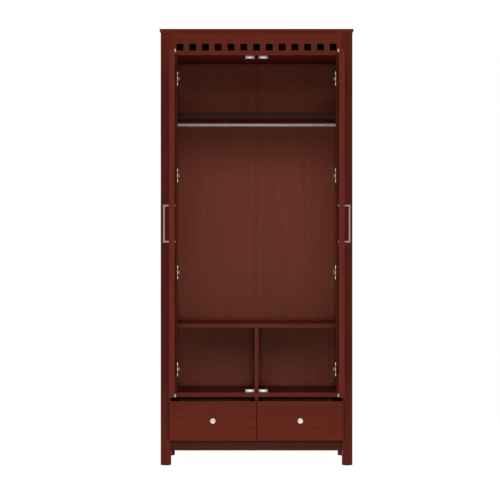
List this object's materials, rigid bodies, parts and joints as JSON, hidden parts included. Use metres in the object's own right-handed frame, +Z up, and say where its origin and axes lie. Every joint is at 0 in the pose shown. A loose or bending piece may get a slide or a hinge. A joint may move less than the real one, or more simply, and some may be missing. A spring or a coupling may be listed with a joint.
{
  "type": "armoire",
  "caption": "Wooden armoire with hinged doors over a hanging rod, hat shelf and open compartments, and drawers on telescopic slides below.",
  "frame": {"origin": "on the floor, under the middle of the box round the armoire with its doors open at right angles", "axes": "+X to the right seen from the front, +Y towards the back, +Z up"},
  "size_m": [0.888, 0.8766, 2],
  "materials": {
    "post_wood": "satin, cherry-brown stain and lacquer",
    "side_wood": "satin, cherry-brown stain and lacquer",
    "top_wood": "satin, cherry-brown stain and lacquer",
    "front_wood": "satin, cherry-brown stain and lacquer",
    "door_wood": "satin, cherry-brown stain and lacquer",
    "door_panel_wood": "satin, cherry-brown stain and lacquer",
    "shelf_wood": "satin, cherry-brown stain and lacquer",
    "inside_wood": "satin, cherry-brown stain and lacquer",
    "back_wood": "satin, warmer brown stained board",
    "drawer_wood": "clear lacquer on pale wood",
    "dowel_wood": "raw pale wood",
    "rod_steel": "satin nickel tube",
    "bright_steel": "bright nickel-plated steel",
    "slide_steel": "zinc-plated sheet steel",
    "screw_steel": "zinc-plated steel",
    "magnet_steel": "dark ferrite and steel",
    "handle_nickel": "brushed nickel",
    "knob_nickel": "satin nickel",
    "catch_plastic": "white moulded plastic",
    "glide_nylon": "white nylon"
  },
  "bodies": {
    "cabinet": {"front_posts": "post_wood", "rear_posts": "post_wood", "left_side_panel": "side_wood", "right_side_panel": "side_wood", "top_panel": "top_wood", "header_rail": "front_wood", "ceiling_panel": "inside_wood", "hat_shelf": "shelf_wood", "middle_shelf": "shelf_wood", "bottom_shelf": "shelf_wood", "lower_divider": "shelf_wood", "drawer_partition": "inside_wood", "base_panel": "inside_wood", "front_apron": "inside_wood", "rear_rails": "inside_wood", "back_panels": "back_wood", "hanging_rod": "rod_steel", "rod_sockets": "bright_steel", "hinge_arms": "bright_steel", "hinge_plates": "bright_steel", "catch_bodies": "catch_plastic", "catch_magnets": "magnet_steel", "drawer_rails": "slide_steel", "floor_glides": "glide_nylon", "dowels": "dowel_wood", "cabinet_screws": "screw_steel"},
    "left_door": {"left_hinge_stile": "door_wood", "left_latch_stile": "door_wood", "left_door_rails": "door_wood", "left_door_panel": "door_panel_wood", "left_hinge_cups": "bright_steel", "left_hinge_pins": "bright_steel", "left_handle": "handle_nickel", "left_door_screws": "screw_steel", "left_keepers": "catch_plastic"},
    "right_door": {"right_hinge_stile": "door_wood", "right_latch_stile": "door_wood", "right_door_rails": "door_wood", "right_door_panel": "door_panel_wood", "right_hinge_cups": "bright_steel", "right_hinge_pins": "bright_steel", "right_handle": "handle_nickel", "right_door_screws": "screw_steel", "right_keepers": "catch_plastic"},
    "left_drawer": {"left_drawer_front": "front_wood", "left_drawer_sides": "drawer_wood", "left_drawer_ends": "drawer_wood", "left_drawer_bottom": "drawer_wood", "left_knob": "knob_nickel", "left_drawer_screws": "screw_steel", "left_drawer_runners": "slide_steel"},
    "right_drawer": {"right_drawer_front": "front_wood", "right_drawer_sides": "drawer_wood", "right_drawer_ends": "drawer_wood", "right_drawer_bottom": "drawer_wood", "right_knob": "knob_nickel", "right_drawer_screws": "screw_steel", "right_drawer_runners": "slide_steel"},
    "left_slide_middle": {"left_slide_middles": "slide_steel"},
    "right_slide_middle": {"right_slide_middles": "slide_steel"}
  },
  "joints": [
    {"name": "left_door_hinge", "type": "hinge", "parent": "cabinet", "child": "left_door", "pos_m": [-0.373, -0.06675, 1.1075], "axis": [0, 0, 1], "range_deg": [-10, 90]},
    {"name": "right_door_hinge", "type": "hinge", "parent": "cabinet", "child": "right_door", "pos_m": [0.373, -0.06675, 1.1075], "axis": [0, 0, -1], "range_deg": [-10, 90]},
    {"name": "left_drawer_slide", "type": "slide", "parent": "cabinet", "child": "left_drawer", "axis": [0, -1, 0], "range_m": [0, 0.38]},
    {"name": "left_middle_slide", "type": "slide", "parent": "cabinet", "child": "left_slide_middle", "axis": [0, -1, 0], "range_m": [0, 0.19]},
    {"name": "right_drawer_slide", "type": "slide", "parent": "cabinet", "child": "right_drawer", "axis": [0, -1, 0], "range_m": [0, 0.38]},
    {"name": "right_middle_slide", "type": "slide", "parent": "cabinet", "child": "right_slide_middle", "axis": [0, -1, 0], "range_m": [0, 0.19]}
  ],
  "couplings": [
    {"joint": "left_middle_slide", "follows": "left_drawer_slide", "ratio": 0.5},
    {"joint": "right_middle_slide", "follows": "right_drawer_slide", "ratio": 0.5}
  ]
}
